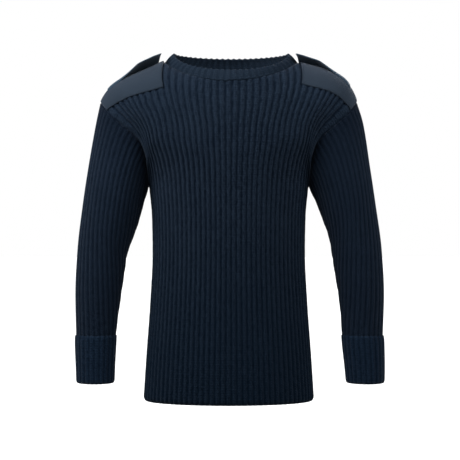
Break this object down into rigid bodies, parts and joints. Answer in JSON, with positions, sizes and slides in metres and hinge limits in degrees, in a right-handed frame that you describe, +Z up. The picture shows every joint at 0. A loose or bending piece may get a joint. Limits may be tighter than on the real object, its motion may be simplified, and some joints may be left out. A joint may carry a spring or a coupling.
{
  "type": "commando sweater",
  "caption": "Long-sleeved commando sweater in ribbed knit, open and hollow as when worn, with a neckband, cuffs, woven shoulder patches and shoulder straps.",
  "frame": {"origin": "between the wearer's shoulders, level with the neck seam at the sides of the neck", "axes": "+Z up, -Y to the front, +X to the wearer's left"},
  "size_m": [0.6312, 0.2252, 0.7091],
  "materials": {
    "rib_knit": "matt navy wool rib knit",
    "sleeve_knit": "matt navy wool rib knit",
    "collar_knit": "matt navy wool rib knit",
    "cuff_knit": "matt navy wool rib knit, double",
    "patch_cloth": "matt slate-navy woven cotton twill",
    "strap_cloth": "matt dark navy woven cotton twill"
  },
  "bodies": {
    "root": {"front": "rib_knit", "back": "rib_knit", "collar": "collar_knit", "sleeve_left": "sleeve_knit", "sleeve_right": "sleeve_knit", "cuff_left": "cuff_knit", "cuff_right": "cuff_knit", "shoulder_patch_left": "patch_cloth", "shoulder_patch_right": "patch_cloth", "epaulette_left": "strap_cloth", "epaulette_right": "strap_cloth"}
  },
  "joints": []
}
